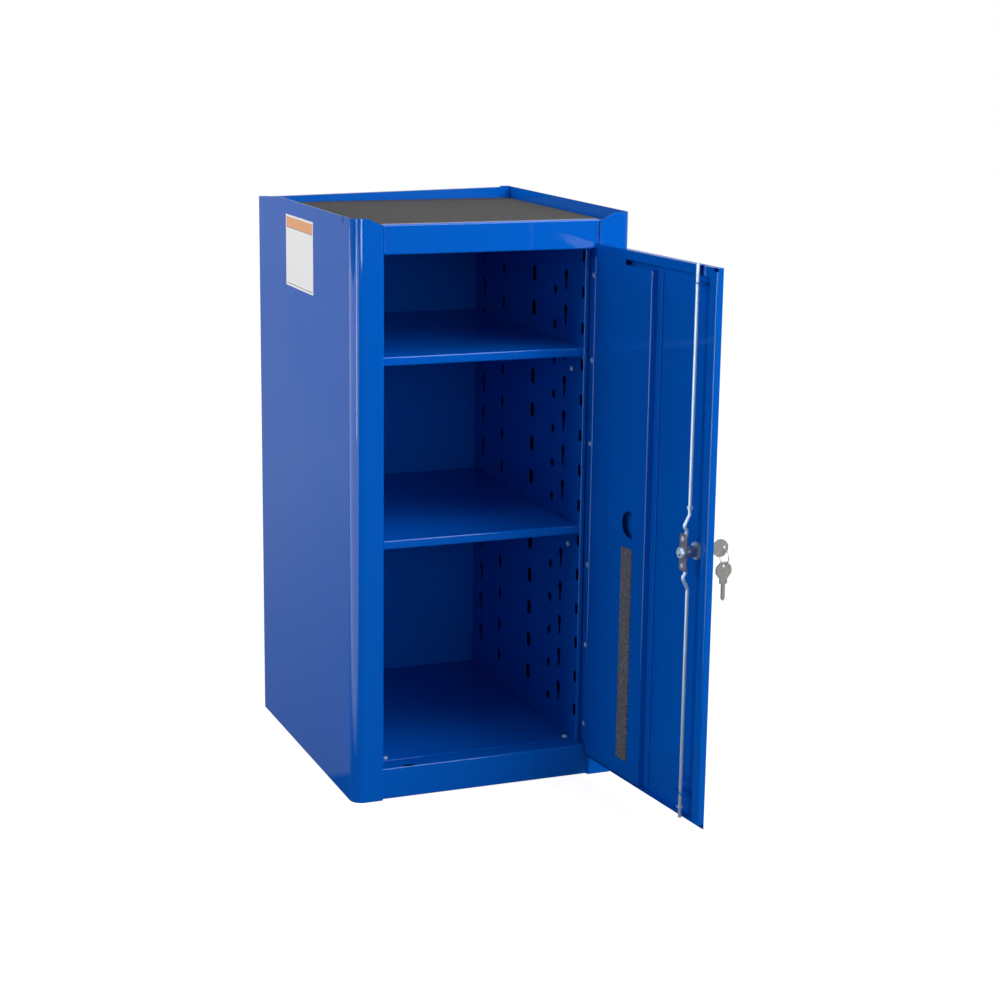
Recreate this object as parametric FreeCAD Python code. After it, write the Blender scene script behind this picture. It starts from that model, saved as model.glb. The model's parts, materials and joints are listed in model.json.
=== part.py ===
"""Side locker for a tool chest: folded sheet steel, one hinged door, rod lock.

Millimetres.  X runs across the front from left to right, Y from the front to
the back and Z up.  The origin is the centre of the base, on the floor.  The
door is built shut and then swung open about its hinge, as it stands at rest.
"""
import FreeCAD, Part
import math
import os

Vector = FreeCAD.Vector

# ---------------------------------------------------------------- cabinet
width = 404.0
depth = 456.0
height = 812.0
sheet = 1.0
fold = 2.0                    # outside radius of an ordinary fold

left_post = 44.0              # width of the left front post
right_post = 48.0             # width of the right front post
post_round = 17.0             # large outside radius of the front corners
jamb_fold = 3.0               # fold where a post turns back into the opening
jamb_depth = 36.0             # how far a post turns back into the opening
rear_flange = 14.0
rim_hem = 1.2                 # sheet folded back inside the top rim
rim_hem_drop = 14.0
post_slope = 18.0             # run of the slope at a post's inner top corner
post_flat = 4.0
left_rear_slope = 106.0       # the left rim falls away over this run at the back
left_rear_drop = 8.5
rim_slot_front = 38.0         # relief slot through each rim near the front
rim_slot_width = 4.0
rim_slot_depth = 9.0

rail_setback = 4.0            # header and rail lie this far behind the posts
header_drop = 9.0             # header top below the side rims
header_height = 40.0
header_top_flange = 14.0
header_flange = 20.0
header_return = 12.0
rail_height = 45.0
rail_foot = 20.0
flange_drop = 12.0            # down-turned edges of the floor, tray and rail
floor_slot_across = 272.0     # slot in the floor, from the left side
floor_slot_length = 20.0
floor_slot_width = 5.0
floor_slot_depth = 98.0
stiffener_web = 40.0          # hidden channel under the middle of the floor
stiffener_flange = 16.0

tray_drop = 10.5              # tray floor below the header's top
mat_thickness = 2.5
mat_gap = 0.6
mat_corner = 4.0

back_recess = 12.0            # the back panel's face in front of the rear plane
back_rim_drop_left = 9.0      # the back rim runs slightly downhill to the left
back_rim_drop_right = 1.0

wall_inset = 9.0              # inner walls stand this far inside the jambs
wall_front = 25.0
wall_front_flange = 6.0
wall_flange = 12.0
channel_front = 56.0          # hidden channel between an inner and an outer wall
channel_width = 20.0

shelf_front = 31.0
shelf_lip = 12.5
shelf_hem = 8.0
lower_shelf_top = 366.0
upper_shelf_top = 622.0

# ---------------------------------------------------------------- perforation
hole_pitch = 50.8             # vertical pitch of every column of holes
hole_margin = 6.0             # sheet left below a column's lowest hole
oblong_width = 11.0
oblong_height = 18.0
keyhole_head = 15.0
keyhole_slot = 8.0
keyhole_height = 30.0
round_hole = 13.0
window_width = 16.0
window_height = 21.0
window_corner = 4.0
column_front_oblong = 32.3    # distances of the columns behind the front plane
column_front_keyhole = 91.9
column_round = 129.8
column_window = 208.7
column_rear_oblong = 328.2
column_rear_keyhole = 407.6
drop_front_oblong = 29.3      # each column's top centre below the wall's top
drop_front_keyhole = 69.2
drop_round = 87.3
drop_window = 73.9
drop_rear_oblong = 82.4
drop_rear_keyhole = 66.9

# ---------------------------------------------------------------- fasteners
screw_radius = 2.0
screw_head_radius = 3.8
screw_head_height = 2.6
screw_crown_radius = 1.8
screw_length = 9.0
screw_clearance = 0.1
screw_drop = 35.0             # wall screws sit this far below each shelf's top
floor_screw_inset = 8.6       # floor screws inside the inner walls
floor_screw_depth = 45.2
bracket_reach = 26.0
bracket_drop = 24.0
rivet_radius = 2.0
rivet_head_radius = 4.0
rivet_head_height = 1.5
rivet_depth = 15.4            # hinge rivets behind the front plane
rivet_pitch = 119.0
rivet_inset = 27.0            # end rivets from the hinge's ends
bolt_hole_radius = 3.5        # fixing holes in the right side, towards the chest
bolt_row_spacing = 558.8
bolt_lower_height = 109.0

# ---------------------------------------------------------------- hinge
knuckle_radius = 3.0
hinge_pin_radius = 1.5
running_clearance = 0.05
knuckle_length = 24.0
knuckle_gap = 0.3
leaf_thickness = 1.0
cabinet_leaf_width = 32.0
door_leaf_width = 7.0
hinge_bottom_gap = 1.0        # hinge ends above the bottom rail
hinge_top_gap = 11.0          # and below the header
hinge_set_forward = 1.0       # hinge axis behind the front plane
door_rivet_radius = 1.25
door_rivet_head = 2.2

# ---------------------------------------------------------------- door
door_thickness = 10.5
door_seat_gap = 0.5           # shut door's lips in front of the rails
door_edge_gap = 2.0           # shut door's free edge beside the left post
door_rail_cover = 20.7        # shut door's skin reaches this far down over the rail
door_header_cover = 7.6       # and this far up over the header
door_skirt = 7.0              # plain skin below the folded bottom edge
skirt_hem = 4.0
door_lip = 12.6               # lip along the top
panel_rise = 2.5              # inner panel above the folded bottom edge
free_lip = 17.0               # lip along the free edge
free_lip_return = 5.5
door_open_angle = 95.4
rod_notch = 12.0
corner_relief = 9.0
stiffener_width = 147.0       # inner panel along the hinge side
stiffener_foot = 15.0
stiffener_gap = 7.5           # dark gap below the top lip
stiffener_tab = 78.0          # the inner panel reaches the lip up to here
pull_radius = 18.0            # D-shaped hole in the inner panel
pull_centre = 108.0
pull_flat = 9.5
strip_start = 92.0
strip_width = 27.0
strip_thickness = 1.5
strip_rise = 34.7             # strip's lower end above the door's bottom
strip_lower_length = 75.0
strip_upper_length = 229.4
strip_gap = 0.6

# ---------------------------------------------------------------- lock
lock_edge_distance = 38.0     # lock axis from the door's free edge
lock_height = 397.5
lock_head_radius = 11.0
lock_head_length = 14.0
lock_body_radius = 8.0
lock_body_length = 22.0       # behind the door's outer face
lock_nut_radius = 12.0
lock_nut_height = 4.0
plug_radius = 5.0
plug_proud = 0.3
stub_radius = 4.0
stub_length = 6.5
keyway_depth = 22.5
keyway_clearance = 0.1
cam_length = 50.0
cam_width = 16.5
cam_thickness = 2.0
cam_gap = 1.0
cam_throw = 18.0              # lock axis to each rod's pivot
cam_corner = 3.0
cam_nut_flats = 13.0
cam_nut_height = 4.8
cam_washer_radius = 8.5
cam_washer_thickness = 1.0

# ---------------------------------------------------------------- lock rods
rod_radius = 2.4
rod_depth = 15.0              # rod centre line behind the door's outer face
rod_gap = 0.4
rod_pin_bend = 3.0
rod_jog_bend = 5.0
rod_jog_start = 50.0          # the jog, measured from the lock axis
rod_crest = 34.0              # its crest beyond the cam plate
rod_crest_depth = 23.2
rod_jog_end = 29.0
upper_rod_entry = 11.0        # rod tips beyond the header's and rail's edges
lower_rod_entry = 14.4
rod_pin_tail = 0.9            # pin's end beyond its clip
rod_clip_radius = 3.6
rod_clip_gap = 0.2
rod_clip_thickness = 0.8
bead_radius = 4.0
bead_height = 4.0
bead_offset = 57.0
stop_ring_gap = 0.4           # stop ring above the bottom rail
stop_ring_radius = 5.0
stop_ring_thickness = 1.0
guide_thickness = 1.2
guide_width = 26.0
guide_foot = 14.0
guide_reach = 21.0            # guides' outer edge behind the door's outer face
guide_swing = 3.4             # room for the rod to swing sideways
lower_guide_rise = 41.7       # guides from the door's bottom and top edges
upper_guide_drop = 22.6
keeper_width = 18.0
keeper_play = 1.6

# ---------------------------------------------------------------- keys
key_thickness = 2.2
key_bow_length = 23.0
key_bow_width = 24.0
key_bow_end = 8.6             # width of the bow's flat end
key_facet_run = 5.6           # sloping sides of the bow, from its end
key_facet_width = 21.0
key_widest_run = 9.9
key_shoulder_run = 15.6       # where the bow starts to narrow again
key_shoulder_width = 23.4
key_root_width = 11.2         # bow where it meets the neck
key_neck_width = 11.2
key_neck_step = 1.0
key_tip_width = 1.6
key_neck_length = 7.5
key_blade_width = 5.4
key_length = 52.5
key_hole_inset = 5.0
key_hole_radius = 2.5
key_inserted = 21.3           # blade inside the plug
ring_radius = 10.7
ring_wire_radius = 0.8
hang_gap = 0.2

# ---------------------------------------------------------------- label
label_thickness = 0.4
label_width = 133.0
label_height = 102.0
label_front = 176.0
label_drop = 21.0             # label's top edge below the side's top

# ---------------------------------------------------------------- derived
left = -width / 2
right = width / 2
front = -depth / 2
rear = depth / 2
header_top = height - header_drop
header_bottom = header_top - header_height
tray_top = header_top - tray_drop
tray_bottom = tray_top - sheet
back_face = rear - back_recess
opening_left = left + left_post
opening_right = right - right_post
left_wall = opening_left + wall_inset
right_wall = opening_right - wall_inset
wall_top = tray_bottom - flange_drop
rail_face = front + rail_setback
header_inner_edge = rail_face + header_top_flange
shelf_tops = {"lower_shelf": lower_shelf_top, "upper_shelf": upper_shelf_top}

hinge_x = opening_right - knuckle_radius
hinge_y = front + hinge_set_forward
hinge_base = Vector(hinge_x, hinge_y, 0)
door_face = rail_face - door_seat_gap - door_thickness
door_bottom = rail_height - door_rail_cover
door_top = header_bottom + door_header_cover
door_edge_bottom = door_bottom + door_skirt
hinge_bottom = rail_height + hinge_bottom_gap
hinge_top = header_bottom - hinge_top_gap
door_width = hinge_x - (opening_left + door_edge_gap)
lock_across = door_width - lock_edge_distance
panel_end = knuckle_radius + sheet + stiffener_width
plug_end = lock_body_length + sheet - cam_gap
cam_face = plug_end + cam_thickness
rod_cam_depth = plug_end - rod_gap - rod_radius
upper_rod_tip = header_bottom + upper_rod_entry
lower_rod_tip = rail_height - lower_rod_entry
upper_guide_height = door_top - upper_guide_drop
lower_guide_height = door_bottom + lower_guide_rise
stop_ring_height = rail_height + stop_ring_gap


# ---------------------------------------------------------------- helpers
def block(x_span, y_span, z_span):
    """Box between three spans of coordinates, in any order."""
    low = Vector(min(x_span), min(y_span), min(z_span))
    size = Vector(max(x_span), max(y_span), max(z_span)) - low
    return Part.makeBox(size.x, size.y, size.z, low)


def door_block(across, back, z_span):
    """Box on the shut door: across from the hinge axis, back from its face."""
    x_span = [hinge_x - distance for distance in across]
    y_span = [door_face + distance for distance in back]
    return block(x_span, y_span, z_span)


def door_point(across, back, z):
    return Vector(hinge_x - across, door_face + back, z)


def door_rod(across, back_span, z, radius):
    """Cylinder square to the shut door."""
    length = back_span[1] - back_span[0]
    start = door_point(across, back_span[0], z)
    return Part.makeCylinder(radius, length, start, Vector(0, 1, 0))


def in_plan(point, level):
    return Vector(point[0], point[1], level)


def in_section(point, level):
    return Vector(level, point[0], point[1])


def in_elevation(point, level):
    return Vector(point[0], level, point[1])


def direction(start, end):
    length = math.hypot(end[0] - start[0], end[1] - start[1])
    return (end[0] - start[0]) / length, (end[1] - start[1]) / length


def turn_angle(before, after):
    cross = before[0] * after[1] - before[1] * after[0]
    dot = before[0] * after[0] + before[1] * after[1]
    return math.atan2(cross, dot)


def offset_path(points, distance):
    """The polyline moved to its left by a distance, with its corners kept."""
    moved = []
    last = len(points) - 1
    for index, point in enumerate(points):
        before = direction(points[max(index - 1, 0)], points[max(index, 1)])
        after = direction(points[min(index, last - 1)], points[min(index + 1, last)])
        half = turn_angle(before, after) / 2
        middle = (before[0] + after[0], before[1] + after[1])
        size = math.hypot(*middle)
        reach = distance / math.cos(half) / size
        moved.append((point[0] - middle[1] * reach, point[1] + middle[0] * reach))
    return moved


def rounded_edges(points, radii, lift):
    """Edges along a polyline with an arc at each inner corner."""
    edges = []
    start = points[0]
    for index in range(1, len(points) - 1):
        corner = points[index]
        before = direction(points[index - 1], corner)
        after = direction(corner, points[index + 1])
        turn = turn_angle(before, after)
        radius = radii[index - 1]
        if radius <= 0 or abs(turn) < 1e-6:
            edges.append(Part.makeLine(lift(start), lift(corner)))
            start = corner
            continue
        cut = radius * math.tan(abs(turn) / 2)
        arc_start = (corner[0] - before[0] * cut, corner[1] - before[1] * cut)
        arc_end = (corner[0] + after[0] * cut, corner[1] + after[1] * cut)
        side = math.copysign(radius, turn)
        centre = (arc_start[0] - before[1] * side, arc_start[1] + before[0] * side)
        out = direction(centre, corner)
        middle = (centre[0] + out[0] * radius, centre[1] + out[1] * radius)
        edges.append(Part.makeLine(lift(start), lift(arc_start)))
        edges.append(Part.Arc(lift(arc_start), lift(middle), lift(arc_end)).toShape())
        start = arc_end
    edges.append(Part.makeLine(lift(start), lift(points[-1])))
    return edges


def folded(points, radii, plane, span, thickness=sheet):
    """Folded sheet: its skin follows the points, its metal lies on their left."""
    def lift(point):
        return plane(point, span[0])

    inner = offset_path(points, thickness)
    inner_radii = []
    for index, radius in enumerate(radii):
        before = direction(points[index], points[index + 1])
        after = direction(points[index + 1], points[index + 2])
        turn = turn_angle(before, after)
        inner_radii.append(radius - math.copysign(thickness, turn))
    edges = rounded_edges(points, radii, lift)
    edges.append(Part.makeLine(lift(points[-1]), lift(inner[-1])))
    edges += rounded_edges(inner[::-1], inner_radii[::-1], lift)
    edges.append(Part.makeLine(lift(inner[0]), lift(points[0])))
    face = Part.Face(Part.Wire(edges))
    return face.extrude(plane((0, 0), span[1]) - plane((0, 0), span[0]))


def prism(points, plane, span):
    """Straight-sided solid over a closed polygon."""
    corners = [plane(point, span[0]) for point in points]
    face = Part.Face(Part.makePolygon(corners + corners[:1]))
    return face.extrude(plane((0, 0), span[1]) - plane((0, 0), span[0]))


def fused(first, *others):
    return first.fuse(list(others)).removeSplitter()


def swing_open(shape, angle=door_open_angle):
    """A piece of the shut door, turned with it about the hinge axis."""
    turned = shape.copy()
    turned.rotate(hinge_base, Vector(0, 0, 1), angle)
    return turned


# ---------------------------------------------------------------- cabinet shell
def from_side(side, distance):
    """X of a place given by its distance in from the left or right face."""
    return left + distance if side == "left" else right - distance


def side_panel(side, post):
    """Side wall, front post and the post's return into the opening, one sheet."""
    points = [(rear_flange, depth), (0, depth), (0, 0), (post, 0), (post, jamb_depth)]
    skin = [(from_side(side, across), front + back) for across, back in points]
    radii = [fold, post_round, jamb_fold]
    if side == "left":
        panel = folded(skin, radii, in_plan, (0, height))
    else:
        panel = folded(skin[::-1], radii[::-1], in_plan, (0, height))
    hem = block(
        (from_side(side, sheet), from_side(side, sheet + rim_hem)),
        (header_inner_edge, rear - rear_flange),
        (height - rim_hem_drop, height),
    )
    slope = prism(
        [
            (from_side(side, post - post_flat - post_slope), height),
            (from_side(side, post - post_flat), header_top),
            (from_side(side, post + sheet), header_top),
            (from_side(side, post + sheet), height + sheet),
            (from_side(side, post - post_flat - post_slope), height + sheet),
        ],
        in_elevation,
        (front - sheet, front + jamb_depth + sheet),
    )
    slot_start = front + rim_slot_front
    rim_slot = block(
        (from_side(side, -sheet), from_side(side, 2 * sheet + rim_hem)),
        (slot_start, slot_start + rim_slot_width),
        (height - rim_slot_depth, height + sheet),
    )
    return_span = (from_side(side, post_round), from_side(side, post + sheet))
    under_flange = block(
        return_span,
        (front + sheet, header_inner_edge),
        (header_top - 2 * sheet, height + sheet),
    )
    under_tray = block(
        return_span,
        (header_inner_edge - sheet, front + jamb_depth + sheet),
        (tray_bottom, height + sheet),
    )
    panel = fused(panel, hem).cut([slope, rim_slot, under_flange, under_tray])
    return panel.removeSplitter()


def left_side_panel():
    run_off = prism(
        [
            (rear - left_rear_slope, height),
            (rear + sheet, height - left_rear_drop),
            (rear + sheet, height + sheet),
            (rear - left_rear_slope, height + sheet),
        ],
        in_section,
        (left - sheet, left + left_post),
    )
    return side_panel("left", left_post).cut(run_off)


def bolt_columns():
    """The fixing holes line up with the heads of the two keyhole columns."""
    return front + column_front_keyhole, front + column_rear_keyhole


def right_side_panel():
    panel = side_panel("right", right_post)
    holes = []
    for y in bolt_columns():
        for z in (bolt_lower_height, bolt_lower_height + bolt_row_spacing):
            start = Vector(right - 2 * sheet, y, z)
            hole = Part.makeCylinder(bolt_hole_radius, 4 * sheet, start, Vector(1, 0, 0))
            holes.append(hole)
    return panel.cut(holes + cabinet_rivet_holes())


def back_panel():
    """Recessed back with flanges turned to the rear on all four sides.

    Its top edge runs downhill to the left, where it meets the end of the left rim.
    """
    edge_left = left + sheet
    edge_right = right - sheet
    flange_end = rear - fold
    points = [
        (edge_left, flange_end),
        (edge_left, back_face),
        (edge_right, back_face),
        (edge_right, flange_end),
    ]
    top_left = height - back_rim_drop_left
    top_right = height - back_rim_drop_right
    sides = folded(points, [fold, fold], in_plan, (0, top_right))
    above_top = prism(
        [(edge_left, top_left), (edge_right, top_right), (edge_left, top_right)],
        in_elevation,
        (back_face - sheet, rear),
    )
    across = (edge_left + sheet, edge_right - sheet)
    flange = (back_face, flange_end)
    top_flange = prism(
        [
            (edge_left, top_left - sheet),
            (edge_right, top_right - sheet),
            (edge_right, top_right),
            (edge_left, top_left),
        ],
        in_elevation,
        flange,
    ).common(block(across, flange, (0, height)))
    foot_flange = block(across, flange, (0, sheet))
    return fused(sides.cut(above_top), top_flange, foot_flange)


def header_rail():
    """Front header with a keeper slot for the upper lock rod."""
    back = rail_face + header_flange
    points = [
        (header_inner_edge, header_top),
        (rail_face, header_top),
        (rail_face, header_bottom),
        (back, header_bottom),
        (back, header_bottom + header_return),
    ]
    rail = folded(points, [fold] * 3, in_section, (opening_left, opening_right))
    return rail.cut(keeper_slot((header_bottom - sheet, header_bottom + 2 * sheet)))


def bottom_rail():
    """Front rail at the floor with a keeper slot for the lower lock rod."""
    back = front + jamb_depth
    points = [
        (back, rail_height - flange_drop),
        (back, rail_height),
        (rail_face, rail_height),
        (rail_face, 0),
        (rail_face + rail_foot, 0),
    ]
    rail = folded(points, [fold] * 3, in_section, (opening_left, opening_right))
    return rail.cut(keeper_slot((rail_height - 2 * sheet, rail_height + sheet)))


def keeper_slot(z_span):
    """Cutter for the slot that a lock rod enters when the door is shut."""
    rod = door_point(lock_across, rod_depth, 0)
    x_span = (rod.x - keeper_width / 2, rod.x + keeper_width / 2)
    return block(x_span, (rail_face + sheet, rod.y + rod_radius + keeper_play), z_span)


def floor_panel():
    """Floor of the locker with down-turned edges."""
    lip = rail_height - flange_drop
    start = front + jamb_depth
    points = [(back_face, lip), (back_face, rail_height), (start, rail_height), (start, lip)]
    edge_left = left + sheet
    edge_right = right - sheet
    panel = folded(points, [fold] * 2, in_section, (edge_left, edge_right))
    run = (start + sheet, back_face - sheet)
    drop = (lip, rail_height - sheet)
    left_edge = block((edge_left, edge_left + sheet), run, drop)
    right_edge = block((edge_right - sheet, edge_right), run, drop)
    slot_left = left + floor_slot_across
    slot_front = front + floor_slot_depth
    slot = block(
        (slot_left, slot_left + floor_slot_length),
        (slot_front, slot_front + floor_slot_width),
        (rail_height - 2 * sheet, rail_height + sheet),
    )
    return fused(panel, left_edge, right_edge).cut(floor_screw_holes() + [slot])


def floor_stiffener():
    """Hidden hat channel across the locker that carries the floor's middle."""
    half = stiffener_web / 2
    flange_level = rail_height - 2 * sheet
    points = [
        (-half - stiffener_flange, flange_level),
        (-half, flange_level),
        (-half, 0),
        (half, 0),
        (half, flange_level),
        (half + stiffener_flange, flange_level),
    ]
    radii = [sheet, fold, fold, sheet]
    return folded(points, radii, in_section, (left + 2 * sheet, right - 2 * sheet))


def top_tray():
    """Open tray on top: a front ledge behind the header and a sunk floor."""
    ledge = header_top - sheet
    lip = tray_bottom - flange_drop
    points = [
        (back_face, lip),
        (back_face, tray_top),
        (header_inner_edge, tray_top),
        (header_inner_edge, ledge),
        (front + sheet, ledge),
    ]
    edge_left = left + sheet
    edge_right = right - sheet
    tray = folded(points, [fold, mat_gap, fold], in_section, (edge_left, edge_right))
    run = (front + jamb_depth + sheet, back_face - sheet)
    drop = (lip, tray_bottom)
    left_edge = block((edge_left, edge_left + sheet), run, drop)
    right_edge = block((edge_right - sheet, edge_right), run, drop)
    tray = fused(tray, left_edge, right_edge)
    inner_round = post_round - sheet
    for x, turn in ((edge_left, 1), (edge_right, -1)):
        corner = block((x, x + turn * inner_round), (front, front + post_round), (lip, height))
        centre = Vector(x + turn * inner_round, front + post_round, lip)
        tray = tray.cut(corner.cut(Part.makeCylinder(inner_round, height - lip, centre)))
    behind_face = block(
        (opening_left, opening_right), (front, rail_face + sheet), (ledge - sheet, height)
    )
    return tray.cut([behind_face, header_rail()])


def top_mat():
    """Loose ribbed mat lying in the tray."""
    edge = sheet + rim_hem + mat_gap
    mat = block(
        (left + edge, right - edge),
        (header_inner_edge + mat_gap, back_face - mat_gap),
        (tray_top, tray_top + mat_thickness),
    )
    upright = [one for one in mat.Edges if abs(one.tangentAt(one.FirstParameter).z) > 0.9]
    return mat.makeFillet(mat_corner, upright)


# ---------------------------------------------------------------- inner walls
def hole_columns():
    """Each column of the perforation: depth, drop, height of a hole, cutter."""
    return (
        (column_front_oblong, drop_front_oblong, oblong_height, oblong_cutter),
        (column_front_keyhole, drop_front_keyhole, keyhole_height, keyhole_cutter),
        (column_round, drop_round, round_hole, round_cutter),
        (column_window, drop_window, window_height, window_cutter),
        (column_rear_oblong, drop_rear_oblong, oblong_height, oblong_cutter),
        (column_rear_keyhole, drop_rear_keyhole, keyhole_height, keyhole_cutter),
    )


def pierce(radius, y, z, x):
    start = Vector(x - 2 * sheet, y, z)
    return Part.makeCylinder(radius, 4 * sheet, start, Vector(1, 0, 0))


def slab(x, y_span, z_span):
    return block((x - 2 * sheet, x + 2 * sheet), y_span, z_span)


def oblong_cutter(x, y, z):
    radius = oblong_width / 2
    reach = oblong_height / 2 - radius
    body = slab(x, (y - radius, y + radius), (z - reach, z + reach))
    return fused(body, pierce(radius, y, z - reach, x), pierce(radius, y, z + reach, x))


def keyhole_cutter(x, y, z):
    head = keyhole_head / 2
    slot = keyhole_slot / 2
    head_height = z + keyhole_height / 2 - head
    foot_height = z - keyhole_height / 2 + slot
    body = slab(x, (y - slot, y + slot), (foot_height, head_height))
    return fused(body, pierce(head, y, head_height, x), pierce(slot, y, foot_height, x))


def round_cutter(x, y, z):
    return pierce(round_hole / 2, y, z, x)


def window_cutter(x, y, z):
    half = window_width / 2
    tall = window_height / 2
    body = slab(x, (y - half, y + half), (z - tall, z + tall))
    along = [one for one in body.Edges if abs(one.tangentAt(one.FirstParameter).x) > 0.9]
    return body.makeFillet(window_corner, along)


def inner_wall(face_x, outward):
    """Perforated wall; outward is the way its flanges point, -1 to the left."""
    points = [
        (face_x + outward * wall_front_flange, front + wall_front),
        (face_x, front + wall_front),
        (face_x, back_face),
        (face_x + outward * wall_flange, back_face),
    ]
    radii = [fold, fold]
    if outward > 0:
        wall = folded(points[::-1], radii, in_plan, (rail_height, wall_top))
    else:
        wall = folded(points, radii, in_plan, (rail_height, wall_top))
    across = (face_x + outward * sheet, face_x + outward * wall_flange)
    run = (front + jamb_depth, back_face - fold)
    bottom_flange = block(across, run, (rail_height, rail_height + sheet))
    top_flange = block(across, run, (wall_top - sheet, wall_top))
    wall = fused(wall, bottom_flange, top_flange)
    cutters = []
    for column, drop, hole_height, cutter in hole_columns():
        room = wall_top - drop - hole_height / 2 - rail_height - hole_margin
        for row in range(int(room // hole_pitch) + 1):
            z = wall_top - drop - row * hole_pitch
            cutters.append(cutter(face_x, front + column, z))
    return wall.cut(cutters).cut(wall_screw_holes())


def wall_channel(face_x, outward):
    """Hidden upright channel that ties an inner wall to the outer side."""
    back_of_wall = face_x + outward * sheet
    inside_of_side = left + sheet if outward < 0 else right - sheet
    near = front + channel_front
    far = near + channel_width
    points = [
        (back_of_wall, near),
        (back_of_wall, far),
        (inside_of_side, far),
        (inside_of_side, near),
    ]
    if outward > 0:
        points = points[::-1]
    z_span = (rail_height + sheet, wall_top - sheet)
    return folded(points, [fold, fold], in_plan, z_span).cut(wall_screw_holes())


# ---------------------------------------------------------------- screws
def wall_screw_places():
    """Head faces of the wall screws with the way each screw points."""
    y = front + channel_front + channel_width / 2
    for top in shelf_tops.values():
        yield Vector(left_wall, y, top - screw_drop), Vector(-1, 0, 0)
        yield Vector(right_wall, y, top - screw_drop), Vector(1, 0, 0)


def floor_screw_places():
    y = front + floor_screw_depth
    for x in (left_wall + floor_screw_inset, right_wall - floor_screw_inset):
        yield Vector(x, y, rail_height), Vector(0, 0, -1)


def screw_holes(places):
    radius = screw_radius + screw_clearance
    return [
        Part.makeCylinder(radius, 6 * sheet, place - way * (2 * sheet), way)
        for place, way in places
    ]


def wall_screw_holes():
    return screw_holes(wall_screw_places())


def floor_screw_holes():
    return screw_holes(floor_screw_places())


def panel_screws():
    """Pan-head screws through the inner walls and the floor."""
    screws = []
    for places in (wall_screw_places(), floor_screw_places()):
        for place, way in places:
            shank = Part.makeCylinder(screw_radius, screw_length, place, way)
            head = Part.makeCylinder(screw_head_radius, screw_head_height, place, way * -1)
            rim = [one for one in head.Edges if isinstance(one.Curve, Part.Circle)]
            crown = max(rim, key=lambda one: (one.CenterOfMass - place).dot(way * -1))
            head = head.makeFillet(screw_crown_radius, [crown])
            screws.append(fused(shank, head))
    return Part.makeCompound(screws)


def floor_brackets():
    """Hidden angle brackets under the floor that take the floor screws."""
    brackets = []
    under_floor = rail_height - sheet
    start = front + jamb_depth + sheet
    for place, way in floor_screw_places():
        x_span = (place.x - bracket_reach / 2, place.x + bracket_reach / 2)
        points = [
            (start + bracket_reach, under_floor),
            (start, under_floor),
            (start, under_floor - bracket_drop),
        ]
        brackets.append(folded(points, [fold], in_section, x_span).cut(floor_screw_holes()))
    return Part.makeCompound(brackets)


# ---------------------------------------------------------------- shelves
def shelf(top):
    """Fixed shelf between the inner walls, edges turned down, front edge hemmed."""
    low = top - shelf_lip
    start = front + shelf_front
    points = [
        (back_face, low),
        (back_face, top),
        (start, top),
        (start, low),
        (start + shelf_hem, low),
    ]
    body = folded(points, [fold] * 3, in_section, (left_wall, right_wall))
    run = (start + fold, back_face - sheet)
    drop = (low, top - sheet)
    left_edge = block((left_wall, left_wall + sheet), run, drop)
    right_edge = block((right_wall - sheet, right_wall), run, drop)
    return fused(body, left_edge, right_edge)


# ---------------------------------------------------------------- hinge
def knuckles():
    """Spans of the hinge's knuckles from the bottom up, cabinet's first."""
    count = int((hinge_top - hinge_bottom) // knuckle_length)
    length = (hinge_top - hinge_bottom) / count
    for index in range(count):
        low = hinge_bottom + index * length + knuckle_gap / 2
        yield index % 2 == 0, low, low + length - knuckle_gap


def hinge_tube(radius, low, high):
    return Part.makeCylinder(radius, high - low, Vector(hinge_x, hinge_y, low))


def hinge_leaf(of_cabinet, plate):
    """A leaf with its own knuckles, cut away beside the other leaf's."""
    own = []
    clearances = []
    for is_cabinet, low, high in knuckles():
        if is_cabinet == of_cabinet:
            own.append(hinge_tube(knuckle_radius, low, high))
        else:
            room = knuckle_radius + knuckle_gap
            clearances.append(hinge_tube(room, low - knuckle_gap, high + knuckle_gap))
    leaf = plate.cut(clearances).fuse(own)
    bore = hinge_pin_radius + running_clearance
    return leaf.cut(hinge_tube(bore, hinge_bottom - 1, hinge_top + 1)).removeSplitter()


def hinge_cabinet_leaf():
    plate = block(
        (opening_right - leaf_thickness, opening_right),
        (hinge_y, hinge_y + cabinet_leaf_width),
        (hinge_bottom, hinge_top),
    )
    return hinge_leaf(True, plate).cut(cabinet_rivet_holes())


def hinge_door_leaf():
    edge = hinge_x - knuckle_radius
    plate = block(
        (edge, edge + leaf_thickness),
        (hinge_y - door_leaf_width, hinge_y),
        (hinge_bottom, hinge_top),
    )
    return hinge_leaf(False, plate).cut(door_rivet_holes())


def hinge_pin():
    return hinge_tube(hinge_pin_radius, hinge_bottom, hinge_top)


def rivet_heights():
    """Two groups of three rivets, one group down from the top, one up."""
    for step in range(3):
        yield hinge_top - rivet_inset - step * rivet_pitch
        yield hinge_bottom + rivet_inset + step * rivet_pitch


def cabinet_rivet(z, radius):
    start = Vector(opening_right - leaf_thickness, front + rivet_depth, z)
    return Part.makeCylinder(radius, leaf_thickness + sheet, start, Vector(1, 0, 0))


def cabinet_rivet_holes():
    return [cabinet_rivet(z, rivet_radius) for z in rivet_heights()]


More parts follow.
